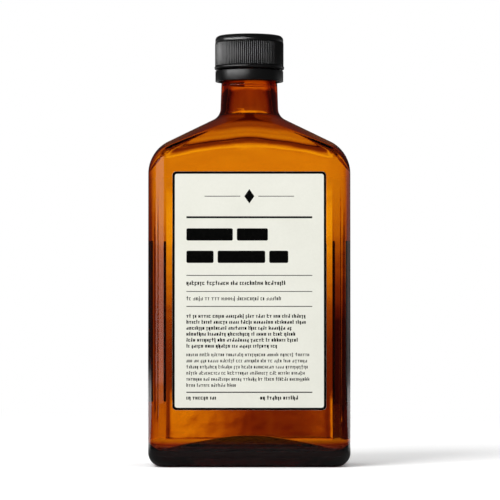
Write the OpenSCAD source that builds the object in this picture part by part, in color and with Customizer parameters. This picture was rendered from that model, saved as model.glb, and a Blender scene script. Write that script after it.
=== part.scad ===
// Amber glass mouthwash bottle with a ribbed screw cap, a tamper band and two paper labels.
// Millimetres. The origin is at the middle of the base, +Z is up and -Y is the front.

/* [Glass body] */
// Width of the body, side to side
body_w = 90; // [82:1:110]
// Depth of the body, front to back
body_d = 47.5; // [46:0.5:60]
// Height at which the shoulder's slope would meet the neck
shoulder_z = 156.8; // [130:0.2:200]
// Fall of the shoulder in degrees below level
slope = 26; // [22:1:30]
// Radius of the body's upright edges
edge_r = 9.5; // [9:0.5:12]
// Radius of the curve between the shoulder and the sides
shoulder_r = 15.6; // [12:0.1:19]
// How far the fold between the shoulder and the front falls from its middle to its ends
fold_fall = 5; // [2:0.2:8]
// Radius of the hollow curve between the shoulder and the neck
neck_blend_r = 5.8; // [4:0.2:8]
// Radius of the heel, where the sides turn under the base
heel_r = 6.3; // [5:0.1:7]
// Width of the ring that the bottle stands on
foot_w = 2; // [1:0.1:2.2]
// Rise of the middle of the base above that ring, outside
push_up = 5; // [1:0.1:6]

/* [Glass wall] */
// Thickness of the walls at the shoulder
wall = 2; // [1.6:0.1:3]
// Thickness of the walls at their foot
foot_wall = 2.3; // [2:0.1:3]
// Thickness of the base at its edge
base_t = 6.6; // [4:0.1:7]
// Rise of the middle of the floor above its edge, inside
floor_rise = 7; // [2:0.1:8]
// Radius of the curve inside, between the walls and the floor
inner_heel_r = 5.6; // [3:0.1:6]
// Thickness of the neck's wall at its foot
neck_wall = 2.35; // [2.2:0.05:4]
// Thickness of the neck's wall at its top
finish_wall = 3.2; // [2.5:0.05:4]

/* [Neck] */
// Radius of the finish between its threads, and of the neck's top
root_r = 12.55; // [12:0.05:13.5]
// How much wider the neck is at its foot than at its top
neck_flare = 0.4; // [0:0.05:0.8]
// Height of the neck, from where the slope would meet it up to the seam under the finish
neck_h = 15; // [9:0.2:40]
// Height of the finish, from that seam up to the rim of the mouth
finish_h = 18.6; // [18.4:0.1:22]
// How far the thread stands out
thread_depth = 1.15; // [0.9:0.05:1.2]
// Rise of the thread in one turn
lead = 3.18; // [3:0.02:3.4]
// Turns of the thread
thread_turns = 1.5; // [1:0.25:1.5]
// Width of the thread at its foot
thread_w = 1.7; // [1.4:0.1:1.8]
// Drop from the rim to the top end of the thread
thread_drop = 2; // [1.6:0.1:2.4]
// Drop from the rim to the middle of the locking bead
bead_drop = 14.5; // [14:0.1:14.8]
// How far the locking bead stands out
bead_depth = 1.35; // [1.2:0.05:1.4]
// Radius of the bead's round section
bead_section_r = 1; // [0.9:0.05:1.1]
// Radius of the rim's two edges
lip_r = 0.7; // [0.4:0.1:1]

/* [Cap] */
// Height of the cap
cap_h = 15.3; // [15:0.1:15.6]
// Thickness of the cap's top
cap_top_t = 1.6; // [1.2:0.1:2]
// Radius of the cap's top edge
cap_edge_r = 2; // [1:0.1:2.2]
// Height of the plain crown above the ribs
cap_crown_h = 3; // [2.4:0.1:4]
// Thickness of the skirt behind the ribs
skirt_t = 0.9; // [0.6:0.05:0.95]
// How far the crown stands out from that skirt
crown_depth = 0.4; // [0.2:0.02:0.8]
// Number of grip ribs
rib_count = 105; // [60:1:120]
// How far the ribs stand out from the skirt
rib_rise = 0.52; // [0.5:0.01:0.8]
// Depth of the grooves between the ribs
rib_depth = 0.4; // [0.2:0.05:0.45]
// Height of the plain collar under the ribs
collar_h = 1.4; // [1:0.1:2]
// How far the collar stands out from the skirt
collar_depth = 0.78; // [0.6:0.02:1.2]
// Bevel under the collar
collar_bevel = 0.4; // [0.2:0.05:0.6]
// Width of the cap's thread at its foot
cap_thread_w = 1.3; // [1:0.1:1.4]

/* [Liner] */
// Thickness of the sealing liner
liner_t = 1; // [0.8:0.1:1.5]

/* [Tamper band] */
// Height of the band
band_h = 4.8; // [4.4:0.1:5]
// Gap between the cap and the band
band_gap = 0.6; // [0.4:0.05:0.8]
// Thickness of the band
band_t = 1.08; // [0.9:0.02:1.6]
// Thickness of the flap that catches under the bead
flap_t = 0.6; // [0.4:0.05:0.7]
// Number of bridges that hold the band to the cap until it is first opened
bridge_count = 10; // [6:1:16]
// Width and thickness of a bridge
bridge_w = 0.6; // [0.4:0.05:0.8]

/* [Contents] */
// Drop from the foot of the straight bore to the liquid's surface
fill_drop = 2.7; // [0.5:0.1:4]

/* [Labels] */
// Height of the front label's lower edge
label_foot = 25.4; // [15:0.2:60]
// Gap between the front label's top corners and the foot of the shoulder's curve
label_head_gap = 2.25; // [0.5:0.1:10]
// Gap between the front label's side and the curve of the body's upright edge
label_side_gap = 1.5; // [0.5:0.1:10]
// Height of the back label's lower edge
back_label_foot = 28; // [15:0.2:60]
// Drop from the front label's upper edge to the back label's
back_label_drop = 30; // [0:0.5:60]
// Gap between the back label's side and the curve of the body's upright edge
back_label_side_gap = 0.5; // [0.2:0.1:10]
// Thickness of the labels
label_t = 0.12; // [0.08:0.01:0.2]
// Radius of the labels' corners
label_corner_r = 1.7; // [0.5:0.1:4]

/* [Hidden] */
$fn = 96;

// Gap between the contents and the glass
fill_gap = 0.15;
// Gap between the cap's bore and the crests of the glass thread
thread_gap = 0.3;
// Gap between the crests of the cap's thread and the finish
crest_gap = 0.4;
// Gap between the two threads where they would press on each other
flank_gap = 0.2;
// Gap between the liner's edge and the cap's bore
liner_gap = 0.25;
// Gap between the band and the bead
bead_gap = 0.3;
// Gap between the flap and the glass
flap_gap = 0.35;
// Gap between the bridges and the cap
bridge_gap = 0.1;
// Step of the seam where the finish meets the neck
seam = 0.1;
// Length and inset of the finish's root in the glass of the neck
tongue = 2;
tongue_inset = 1;
// How far a ridge is sunk into the wall that carries it
sink = 0.3;
// Share of a thread's foot width that its crest keeps, and share of its length that fades out at each end
crest_share = 0.4;
fade_share = 0.1;
// The smallest radius of the shoulder's curve over the front, as a share of the one at the sides
least_fold_share = 0.3;
// How square the rise of the base is: 2 is an ellipse, more is squarer
oval_power = 3.5;
// Shares of a rib's pitch at which its crest begins and ends
rib_crest_shares = [0.3, 0.7];

neck_r = root_r + neck_flare;
bore_r = root_r - finish_wall;
throat_r = neck_r - neck_wall;
thread_r = root_r + thread_depth;
bead_r = root_r + bead_depth;
finish_z = shoulder_z + neck_h;
mouth_z = finish_z + finish_h;
cap_bore_r = thread_r + thread_gap;
skirt_r = cap_bore_r + skirt_t;
cap_r = skirt_r + crown_depth;
rib_r = skirt_r + rib_rise;
collar_r = skirt_r + collar_depth;
cap_crest_r = root_r + crest_gap;
cap_top_z = mouth_z + liner_t + cap_top_t;
cap_z = cap_top_z - cap_h;
band_bore_r = bead_r + bead_gap;
band_r = band_bore_r + band_t;
band_top_z = cap_z - band_gap;
band_z = band_top_z - band_h;
finish_bore_r = bore_r + seam;
bead_z = mouth_z - bead_drop;
thread_z = mouth_z - thread_drop - lead * thread_turns;
cap_thread_z = thread_z - (thread_w + cap_thread_w * crest_share) / 2 - flank_gap;
flap_r = root_r + flap_gap;
flap_top_z = bead_z - bead_section_r - flap_gap;
bridge_r = (band_bore_r + skirt_r) / 2;
label_w = body_w - 2 * (edge_r + label_side_gap);
back_label_w = body_w - 2 * (edge_r + back_label_side_gap);
label_top = shoulder_foot([label_w / 2, body_d / 2], 0, shoulder_r) - label_head_gap;

// How finely the curves of the glass are stepped
edge_steps = 6;
front_steps = 16;
side_steps = 6;
curve_steps = 6;
heel_steps = 4;
dome_steps = 3;
slope_steps = 3;
thread_steps = 40;

// Outline of the body at a distance inside its walls, anticlockwise from the right side.
// Every outline has as many points as every other, so any two can be joined by a skin.
function corner(inset, centre, turn) = [
    for (k = [0:edge_steps])
        let (a = turn + 90 * k / edge_steps)
        centre + (edge_r - inset) * [cos(a), sin(a)]
];
// Points along a straight wall at even angles about the middle of the body
function straight(from, to, steps) =
    let (start = atan2(from.y, from.x), turn = (atan2(to.y, to.x) - start + 360) % 360)
    [
        for (k = [1:steps - 1])
            let (a = start + turn * k / steps, u = [cos(a), sin(a)])
            from + (to - from) * cross(from, u) / cross(u, to - from)
    ];
function outline(inset) =
    let (
        cx = body_w / 2 - edge_r,
        cy = body_d / 2 - edge_r,
        x = body_w / 2 - inset,
        y = body_d / 2 - inset
    )
    concat(
        corner(inset, [cx, cy], 0), straight([cx, y], [-cx, y], front_steps),
        corner(inset, [-cx, cy], 90), straight([-x, cy], [-x, -cy], side_steps),
        corner(inset, [-cx, -cy], 180), straight([-cx, -y], [cx, -y], front_steps),
        corner(inset, [cx, -cy], 270), straight([x, -cy], [x, cy], side_steps)
    );

// A level ring on given points, and a round one in the same directions from the middle
function level(points, z) = [for (p = points) [p.x, p.y, z]];
function round_ring(points, r, z) = [for (p = points) [p.x * r / norm(p), p.y * r / norm(p), z]];

// Height of the shoulder's slope at a radius, on the outside or on a surface inset into the glass
function slope_z(r, inset) = shoulder_z - (r - neck_r) * tan(slope) - inset / cos(slope);
// Distance from the corner of the slope and an upright line to the start of the curve that rounds it
function setback(r) = r * tan((90 - slope) / 2);
// Height at which the upright wall gives way to a curve of radius r, at one point of the outline
function shoulder_foot(p, inset, r) = slope_z(norm(p), inset) - setback(r);
// Height at which the throat's curve ends and the neck's upright wall begins
function throat_z(r, blend_r, inset) = slope_z(r, inset) + setback(blend_r);

// Radius of the shoulder's curve at one point of the outline. Over the front and back the curve starts
// along a fold that falls gently to both ends, and at the sides it has a radius of its own.
function shoulder_curve_r(p, inset) =
    let (
        cx = body_w / 2 - edge_r,
        past_x = max(abs(p.x) - cx, 0),
        past_y = max(abs(p.y) - body_d / 2 + edge_r, 0),
        side_share = past_x * past_x / (past_x * past_x + past_y * past_y),
        middle_r = min(shoulder_r, (body_d / 2 - neck_r) / (1 - sin(slope)) - neck_blend_r),
        fold_z = shoulder_foot([0, body_d / 2], 0, middle_r) - fold_fall * pow(min(abs(p.x) / cx, 1), 2),
        over_face = max((slope_z(norm(p), inset) - fold_z) / setback(1), least_fold_share * shoulder_r - inset)
    )
    over_face * (1 - side_share) + (shoulder_r - inset) * side_share;

// Rings from the foot of the shoulder to the throat. Every upright plane through the middle cuts
// the same curve, slope and hollow curve, further out where the body is wider. The curve is tighter
// where the body is too shallow for it.
// The last ring is where the throat's curve still has end_a degrees to turn.
function shoulder_rings(inset, throat_r, blend_r, end_a) =
    let (
        points = outline(inset),
        slope_end_r = throat_r + blend_r * (1 - sin(slope)),
        curve_rs = [
            for (p = points) min(shoulder_curve_r(p, inset), (norm(p) - slope_end_r) / (1 - sin(slope)))
        ],
        top_z = throat_z(throat_r, blend_r, inset)
    )
    concat(
        [for (k = [0:curve_steps])
            let (a = (90 - slope) * k / curve_steps)
            [for (i = [0:len(points) - 1])
                let (p = points[i], curve_r = curve_rs[i], q = p * (1 - curve_r * (1 - cos(a)) / norm(p)))
                [q.x, q.y, shoulder_foot(p, inset, curve_r) + curve_r * sin(a)]
            ]
        ],
        [for (k = [1:slope_steps - 1])
            [for (i = [0:len(points) - 1])
                let (
                    p = points[i],
                    curve_end_r = norm(p) - curve_rs[i] * (1 - sin(slope)),
                    r = curve_end_r + (slope_end_r - curve_end_r) * k / slope_steps,
                    q = p * r / norm(p)
                )
                [q.x, q.y, slope_z(r, inset)]
            ]
        ],
        [for (k = [0:curve_steps])
            let (a = 90 - slope - (90 - slope - end_a) * k / curve_steps)
            round_ring(points, throat_r + blend_r * (1 - cos(a)), top_z - blend_r * sin(a))
        ]
    );

// The floor inside or the underside of the base: an oval rise within the outline, from near its
// middle out to its foot, in the directions of the given points
function floor_rings(points, z, rise) =
    let (
        half_w = max([for (p = points) p.x]) - foot_w,
        half_d = max([for (p = points) p.y]) - foot_w,
        oval = [
            for (p = points)
                p / pow(pow(abs(p.x) / half_w, oval_power) + pow(abs(p.y) / half_d, oval_power), 1 / oval_power)
        ]
    )
    [
        for (k = [1:dome_steps])
            let (share = k / dome_steps)
            level(oval * share, z + rise * (1 - share * share))
    ];
// The curve between a floor and the upright wall
function heel_rings(inset, r, z) = [
    for (k = [0:heel_steps])
        let (a = 90 * k / heel_steps)
        level(outline(inset + r * (1 - sin(a))), z + r * (1 - cos(a)))
];
// The hollow of the bottle, drawn in by a gap, up to the throat
function hollow_rings(gap, end_a) =
    let (inset = wall + gap, foot_inset = foot_wall + gap, z = base_t + gap)
    concat(
        floor_rings(outline(foot_inset + inner_heel_r), z, floor_rise),
        heel_rings(foot_inset, inner_heel_r, z),
        shoulder_rings(inset, throat_r - gap, neck_blend_r + inset, end_a)
    );
function outer_rings() = concat(
    floor_rings(outline(heel_r), 0, push_up),
    heel_rings(0, heel_r, 0),
    shoulder_rings(0, neck_r, neck_blend_r, 0),
    [round_ring(outline(0), root_r, finish_z)]
);

function reversed(list) = [for (k = [len(list) - 1:-1:0]) list[k]];

// A closed skin over rings of equal count, with a point to close each end
module skin(rings, first, last) {
    n = len(rings[0]);
    m = len(rings);
    points = concat([for (r = rings) each r], [first, last]);
    faces = concat(
        [for (j = [0:m - 2], i = [0:n - 1])
            let (a = j * n + i, b = j * n + (i + 1) % n)
            each [[a, a + n, b], [b, a + n, b + n]]
        ],
        [for (i = [0:n - 1]) [n * m, i, (i + 1) % n]],
        [for (i = [0:n - 1]) [n * m + 1, (m - 1) * n + (i + 1) % n, (m - 1) * n + i]]
    );
    polyhedron(points, faces, convexity = 6);
}

// A thread on a wall of radius wall_r: a tapered ridge that stands out to crest_r and fades at its ends
module thread(wall_r, crest_r, w, z) {
    way = sign(crest_r - wall_r);
    foot_r = wall_r - way * sink;
    count = thread_steps * thread_turns;
    rings = [
        for (k = [0:count])
            let (
                share = k / count,
                a = 360 * thread_turns * share,
                mid_z = z + lead * thread_turns * share,
                height = min(1, share / fade_share, (1 - share) / fade_share),
                top_r = wall_r - way * sink / 2 + (crest_r - wall_r + way * sink / 2) * height,
                top_w = w * (1 - (1 - crest_share) * height),
                section = [
                    [foot_r, mid_z - w / 2], [top_r, mid_z - top_w / 2],
                    [top_r, mid_z + top_w / 2], [foot_r, mid_z + w / 2]
                ]
            )
            [for (q = (way > 0 ? reversed(section) : section)) [q[0] * cos(a), q[0] * sin(a), q[1]]]
    ];
    skin(rings, (rings[0][0] + rings[0][2]) / 2, (rings[count][0] + rings[count][2]) / 2);
}

module rounded_rectangle(w, h, r) {
    square([w - 2 * r, h], center = true);
    square([w, h - 2 * r], center = true);
    for (x = [-1, 1], y = [-1, 1]) translate([x * (w / 2 - r), y * (h / 2 - r)]) circle(r);
}

// The glass from the base to the seam under the finish, hollow in one piece
module glass_body() {
    skin(
        concat(
            outer_rings(),
            [round_ring(outline(wall), bore_r, finish_z)],
            reversed(hollow_rings(0, 0))
        ),
        [0, 0, push_up],
        [0, 0, base_t + floor_rise]
    );
}

// The mouth of the bottle: rim, bore and locking bead
module finish() {
    rotate_extrude() {
        polygon([
            [bore_r + tongue_inset, finish_z - tongue], [root_r - tongue_inset, finish_z - tongue],
            [root_r - tongue_inset, finish_z], [root_r - seam, finish_z],
            [root_r - seam, bead_z], [root_r, bead_z],
            [root_r, mouth_z - lip_r], [root_r - lip_r, mouth_z],
            [finish_bore_r + lip_r, mouth_z], [finish_bore_r, mouth_z - lip_r],
            [finish_bore_r, finish_z], [bore_r + tongue_inset, finish_z]
        ]);
        translate([bead_r - bead_section_r, bead_z]) circle(bead_section_r);
        translate([root_r - lip_r, mouth_z - lip_r]) circle(lip_r);
        translate([finish_bore_r + lip_r, mouth_z - lip_r]) circle(lip_r);
    }
}

module bottle() {
    color("saddlebrown") union() {
        glass_body();
        finish();
        thread(root_r, thread_r, thread_w, thread_z);
    }
}

module mouthwash() {
    blend_r = neck_blend_r + wall + fill_gap;
    rings = hollow_rings(fill_gap, asin(fill_drop / blend_r));
    surface_z = rings[len(rings) - 1][0].z;
    color("sienna")
    skin(rings, [0, 0, base_t + fill_gap + floor_rise], [0, 0, surface_z]);
}

// A label on the front face, or on the back one when turned half round
module label(w, foot_z, top_z) {
    translate([0, -body_d / 2, (foot_z + top_z) / 2])
    rotate([90, 0, 0])
    linear_extrude(label_t)
    rounded_rectangle(w, top_z - foot_z, label_corner_r);
}

module front_label() {
    color("ivory") label(label_w, label_foot, label_top);
}

module back_label() {
    color("ivory") rotate([0, 0, 180]) label(back_label_w, back_label_foot, label_top - back_label_drop);
}

// The sleeve of grip ribs round the skirt
module ribs() {
    pitch = 360 / rib_count;
    outer = [
        for (i = [0:rib_count - 1])
            each [
                (rib_r - rib_depth) * [cos(pitch * i), sin(pitch * i)],
                for (share = rib_crest_shares)
                    rib_r * [cos(pitch * (i + share)), sin(pitch * (i + share))]
            ]
    ];
    translate([0, 0, cap_z + collar_h])
    linear_extrude(cap_h - collar_h - cap_crown_h)
    difference() {
        polygon(outer);
        circle((cap_bore_r + skirt_r) / 2);
    }
}

module cap_shell() {
    crown_z = cap_top_z - cap_crown_h;
    color("dimgray") union() {
        rotate_extrude() difference() {
            union() {
                polygon([
                    [0, cap_z], [collar_r - collar_bevel, cap_z], [collar_r, cap_z + collar_bevel],
                    [collar_r, cap_z + collar_h], [skirt_r, cap_z + collar_h], [skirt_r, crown_z],
                    [cap_r, crown_z], [cap_r, cap_top_z - cap_edge_r],
                    [cap_r - cap_edge_r, cap_top_z], [0, cap_top_z]
                ]);
                translate([cap_r - cap_edge_r, cap_top_z - cap_edge_r]) circle(cap_edge_r);
            }
            translate([0, cap_z - sink]) square([cap_bore_r, cap_h - cap_top_t + sink]);
        }
        ribs();
        thread(cap_bore_r, cap_crest_r, cap_thread_w, cap_thread_z);
    }
}

module cap_liner() {
    color("white") translate([0, 0, mouth_z]) cylinder(r = cap_bore_r - liner_gap, h = liner_t);
}

module tamper_band() {
    color("black") union() {
        rotate_extrude() polygon([
            [band_bore_r, band_top_z], [band_bore_r, band_z + 2 * flap_t],
            [flap_r + flap_t, flap_top_z], [flap_r, flap_top_z - flap_t],
            [band_bore_r, band_z], [band_r, band_z], [band_r, band_top_z]
        ]);
        for (i = [0:bridge_count - 1])
            rotate([0, 0, 360 * i / bridge_count])
            translate([bridge_r - bridge_w / 2, -bridge_w / 2, band_top_z - sink])
            cube([bridge_w, bridge_w, sink + band_gap - bridge_gap]);
    }
}

bottle();
mouthwash();
front_label();
back_label();
cap_shell();
cap_liner();
tamper_band();
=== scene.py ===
import math
import random
import bmesh
import bpy
import numpy as np
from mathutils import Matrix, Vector, noise


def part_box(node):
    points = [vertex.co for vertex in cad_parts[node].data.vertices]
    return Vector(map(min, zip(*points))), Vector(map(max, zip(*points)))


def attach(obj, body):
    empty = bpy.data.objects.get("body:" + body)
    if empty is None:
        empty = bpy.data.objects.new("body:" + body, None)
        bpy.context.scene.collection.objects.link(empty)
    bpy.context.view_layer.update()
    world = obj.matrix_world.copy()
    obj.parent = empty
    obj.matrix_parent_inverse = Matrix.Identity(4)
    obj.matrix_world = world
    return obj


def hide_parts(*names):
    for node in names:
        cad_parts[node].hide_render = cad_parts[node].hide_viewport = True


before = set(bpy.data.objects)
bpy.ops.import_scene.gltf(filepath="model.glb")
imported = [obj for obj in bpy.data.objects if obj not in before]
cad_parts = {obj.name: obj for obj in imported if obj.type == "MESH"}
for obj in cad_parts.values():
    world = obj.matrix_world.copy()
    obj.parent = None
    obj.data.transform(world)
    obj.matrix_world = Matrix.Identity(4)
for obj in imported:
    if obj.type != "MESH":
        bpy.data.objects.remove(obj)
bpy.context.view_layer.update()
print("frame loaded")

mm = 0.001  # sizes are written in millimetres, as in the part's source, and meshes are in metres


# node maths

class Socket:
    # One output of a node tree. Expressions on it add the nodes that work them out.
    def __init__(self, tree, socket=None):
        self.tree, self.socket = tree, socket

    def add(self, kind, settings=None, inputs=None, output=0):
        # Any node: its type, its settings, the values or links of its sockets, and which output is wanted
        node = self.tree.nodes.new(kind)
        for name, value in (settings or {}).items():
            if name == "stops":
                ramp = node.color_ramp
                ramp.elements.remove(ramp.elements[1])
                ramp.elements[0].position, ramp.elements[0].color = value[0]
                for place, colour in value[1:]:
                    ramp.elements.new(place).color = colour
            else:
                setattr(node, name, value)
        for name, value in (inputs or {}).items():
            if isinstance(value, Socket):
                self.tree.links.new(value.socket, node.inputs[name])
            else:
                node.inputs[name].default_value = value
        return Socket(self.tree, node.outputs[output])

    def maths(self, operation, *values):
        return self.add("ShaderNodeMath", {"operation": operation}, dict(enumerate(values)))

    def __add__(self, other):
        return self.maths("ADD", self, other)

    __radd__ = __add__

    def __sub__(self, other):
        return self.maths("SUBTRACT", self, other)

    def __rsub__(self, other):
        return self.maths("SUBTRACT", other, self)

    def __mul__(self, other):
        return self.maths("MULTIPLY", self, other)

    __rmul__ = __mul__

    def __truediv__(self, other):
        return self.maths("DIVIDE", self, other)

    def __abs__(self):
        return self.maths("ABSOLUTE", self)

    def atLeast(self, other):
        return self.maths("MAXIMUM", self, other)

    def ramp(self, low, high):
        # 0 below low, 1 above high, and smooth between them
        return self.add("ShaderNodeMapRange", {"interpolation_type": "SMOOTHSTEP"},
                        {"Value": self, "From Min": low, "From Max": high})

    def graded(self, stops):
        # A value that passes through the given (place, level) pairs, with levels of up to 2
        low, high = stops[0][0], stops[-1][0]
        share = self.add("ShaderNodeMapRange", None, {"Value": self, "From Min": low, "From Max": high})
        marks = [((place - low) / (high - low), (level / 2,) * 3 + (1,)) for place, level in stops]
        return self.add("ShaderNodeValToRGB", {"stops": marks}, {"Fac": share}) * 2

    def parts(self):
        return [self.add("ShaderNodeSeparateXYZ", None, {"Vector": self}, i) for i in range(3)]

    def mix(self, first, second):
        # Colours mixed by this value
        return self.add("ShaderNodeMix", {"data_type": "RGBA"}, {0: self, 6: first, 7: second}, 2)


def newMaterial(name):
    material = bpy.data.materials.new(name)
    material.use_nodes = True
    material.node_tree.nodes.clear()
    start = Socket(material.node_tree)
    return material, start, start.add("ShaderNodeTexCoord", None, None, "Object")


def outputNode(start, inputs):
    node = start.tree.nodes.new("ShaderNodeOutputMaterial")
    for name, value in inputs.items():
        start.tree.links.new(value.socket, node.inputs[name])


def noiseAt(place, scale, detail, rough=0.5):
    return place.add("ShaderNodeTexNoise", None,
                     {"Vector": place, "Scale": scale, "Detail": detail, "Roughness": rough}, "Fac")


def bump(height):
    # Heights are in metres, so they count in full
    return height.add("ShaderNodeBump", None, {"Height": height, "Distance": 1.0}, "Normal")


def clearMaterial(start, piece, height):
    # A clear skin, and inside it the tint that light takes on along its way
    shader = start.add("ShaderNodeBsdfPrincipled", None, {
        "Base Color": (1, 1, 1, 1), "Roughness": 0.0, "Transmission Weight": 1.0, "Normal": bump(height),
        "IOR": piece["ior"], "Specular IOR Level": piece["specular"],
    })
    volume = start.add("ShaderNodeVolumeAbsorption", None, {"Color": piece["tint"], "Density": piece["tintDensity"]})
    outputNode(start, {"Surface": shader, "Volume": volume})


# mesh helpers

def meshFromRings(name, rings, poles=True):
    # A closed skin over level rings of equal count. With poles, the first and last ring are closed by a
    # point at their middle, and without them the last ring joins the first.
    count, around = len(rings), len(rings[0])
    points = np.concatenate(rings) * mm
    faces = []
    last = count - 1 if poles else count
    for j in range(last):
        low, high = j * around, (j + 1) % count * around
        for i in range(around):
            k = (i + 1) % around
            faces.append((low + i, low + k, high + k, high + i))
    if poles:
        ends = np.array([rings[0].mean(0), rings[-1].mean(0)]) * mm
        points = np.concatenate([points, ends])
        top = (count - 1) * around
        for i in range(around):
            k = (i + 1) % around
            faces.append((count * around, k, i))
            faces.append((count * around + 1, top + i, top + k))
    mesh = bpy.data.meshes.new(name)
    mesh.from_pydata(points.tolist(), [], faces)
    mesh.update()
    if signedVolume(mesh) < 0:
        mesh.flip_normals()
    mesh.shade_smooth()
    return mesh


def signedVolume(mesh):
    solid = bmesh.new()
    solid.from_mesh(mesh)
    volume = solid.calc_volume(signed=True)
    solid.free()
    return volume


def putInScene(name, mesh, *materials):
    piece = bpy.data.objects.new(name, mesh)
    bpy.context.scene.collection.objects.link(piece)
    for material in materials:
        mesh.materials.append(material)
    return piece


def joined(name, *meshes):
    whole = bmesh.new()
    for mesh in meshes:
        whole.from_mesh(mesh)
    result = bpy.data.meshes.new(name)
    whole.to_mesh(result)
    whole.free()
    return result


def arc(centre, radius, start, end, steps):
    # Points (radius, height) on an arc, by angles in degrees from outwards, turning up
    angles = np.radians(np.linspace(start, end, steps + 1))
    return [(centre[0] + radius * math.cos(a), centre[1] + radius * math.sin(a)) for a in angles]


def ring(directions, radius, z):
    heights = np.full(len(directions), z) if np.isscalar(z) else z
    return np.column_stack([directions * np.reshape(radius, (-1, 1)), heights])


def roundDirections(count):
    angles = 2 * math.pi * np.arange(count) / count
    return np.column_stack([np.cos(angles), np.sin(angles)])


# the glass

glass = {
    "width": 90, "depth": 47.5, "edgeRadius": 9.5,
    "shoulderZ": 156.8, "slope": math.radians(26), "shoulderRadius": 15.6, "neckBlendRadius": 5.8,
    "foldFall": 5, "leastFoldShare": 0.3,
    "heelRadius": 6.3, "footWidth": 2, "pushUp": 5, "ovalPower": 3.5,
    "wall": 2, "footWall": 2.3, "baseThickness": 6.6, "floorRise": 7, "innerHeelRadius": 5.6,
    "rootRadius": 12.55, "neckFlare": 0.4, "neckWall": 2.35, "finishWall": 3.2, "neckHeight": 15, "finishHeight": 18.6,
    "threadDepth": 1.15, "lead": 3.18, "threadTurns": 1.5, "threadWidth": 1.7, "threadDrop": 2,
    "beadDrop": 14.5, "beadDepth": 1.35, "beadSectionRadius": 1, "lipRadius": 0.7, "seam": 0.1,
    "crestShare": 0.4, "fadeShare": 0.1, "finishStart": 0.05, "finishPitch": 0.22, "boreMiddle": 8, "boreStep": 0.4,
    "edgeSteps": 20, "frontSteps": 60, "sideSteps": 24, "curveSteps": 20, "slopeSteps": 14,
    "floorSteps": 18, "innerWallSteps": 46, "outerWallSteps": 12, "neckSteps": 8, "lipSteps": 8,
    # waves of the hollow's wall: how high, and how long across and upwards. They start from calmFoot and end at
    # calmTop, each given with the height over which they grow or fade.
    "waveHeight": 0.03, "slowWave": (26, 17), "fineWave": (9, 6), "fineShare": 0.08, "waveSeed": 3.0,
    "settleHeight": 0.22, "settleWave": (16, 3.4), "settleZ": 147, "settleReach": 7,
    "throatRidge": 0.2, "throatRidgeZ": 155, "throatRidgeWidth": 0.7, "calmFoot": (4, 10), "calmTop": (160, 4),
    # the look, in metres: ripples of the skin, a stipple under the foot, the mould's seam up both sides, and a
    # slight step inside, where the flat walls turn into the upright edges
    "tint": (0.935, 0.765, 0.03, 1), "tintDensity": 1700, "ior": 1.52, "specular": 0.5,
    "rippleHeight": 0.00018, "rippleScale": 60, "rippleShare": 0.35, "fineScale": 260, "fineRippleShare": 0.015,
    "stippleHeight": 0.0004, "stippleScale": 1500, "stippleTop": (0.0002, 0.0012),
    "seamHeight": 0.00004, "seamWidth": (0.00008, 0.0003), "seamFrom": (0.011, 0.0115),
    "stepHeight": 0.00026, "stepX": (0.0366, 0.0378), "stepY": (0.018, 0.02), "stepEnd": (0.0222, 0.0226),
    "stepFoot": (0.008, 0.03), "stepTop": (0.095, 0.14),
}
tanSlope, sinSlope, cosSlope = math.tan(glass["slope"]), math.sin(glass["slope"]), math.cos(glass["slope"])
quarter = math.pi / 2
neckRadius = glass["rootRadius"] + glass["neckFlare"]
boreRadius = glass["rootRadius"] - glass["finishWall"]
throatRadius = neckRadius - glass["neckWall"]
finishZ = glass["shoulderZ"] + glass["neckHeight"]
mouthZ = finishZ + glass["finishHeight"]
beadZ = mouthZ - glass["beadDrop"]
threadRise = glass["lead"] * glass["threadTurns"]
threadZ = mouthZ - glass["threadDrop"] - threadRise


def cross(a, b):
    return a[..., 0] * b[..., 1] - a[..., 1] * b[..., 0]


def straight(start, end, steps):
    # Points along a straight wall at even angles about the middle of the body
    first = math.atan2(start[1], start[0])
    turn = (math.atan2(end[1], end[0]) - first) % (2 * math.pi)
    angles = first + turn * np.arange(1, steps) / steps
    out = np.column_stack([np.cos(angles), np.sin(angles)])
    return start + (cross(start, out) / cross(out, end - start))[:, None] * (end - start)


def outline(inset):
    # The body's outline at a distance inside its walls, anticlockwise from the right side
    radius = glass["edgeRadius"] - inset
    cx, cy = glass["width"] / 2 - glass["edgeRadius"], glass["depth"] / 2 - glass["edgeRadius"]
    points = []
    for k, (sx, sy) in enumerate([(1, 1), (-1, 1), (-1, -1), (1, -1)]):
        angles = quarter * (k + np.arange(glass["edgeSteps"] + 1) / glass["edgeSteps"])
        corner = np.array([sx * cx, sy * cy]) + radius * np.column_stack([np.cos(angles), np.sin(angles)])
        points.append(corner)
    sides = []
    for k in range(4):
        steps = glass["sideSteps"] if k % 2 else glass["frontSteps"]
        sides += [points[k], straight(points[k][-1], points[(k + 1) % 4][0], steps)]
    return np.concatenate(sides)


def level(points, z):
    return np.column_stack([points, np.full(len(points), z)])


def slopeZ(radius, inset):
    return glass["shoulderZ"] - (radius - neckRadius) * tanSlope - inset / cosSlope


def setback(radius):
    return radius * math.tan((quarter - glass["slope"]) / 2)


def floorRings(points, z, rise):
    # A domed oval, raised in the middle
    halfW, halfD = points.max(0) - glass["footWidth"]
    power = glass["ovalPower"]
    sums = (np.abs(points[:, :1]) / halfW) ** power + (np.abs(points[:, 1:]) / halfD) ** power
    oval = points / sums ** (1 / power)
    shares = np.arange(1, glass["floorSteps"] + 1) / glass["floorSteps"]
    return [level(oval * share, z + rise * (1 - share * share)) for share in shares]


def heelRings(inset, radius, z):
    angles = np.linspace(0, quarter, glass["curveSteps"] + 1)
    return [level(outline(inset + radius * (1 - math.sin(a))), z + radius * (1 - math.cos(a))) for a in angles]


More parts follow.
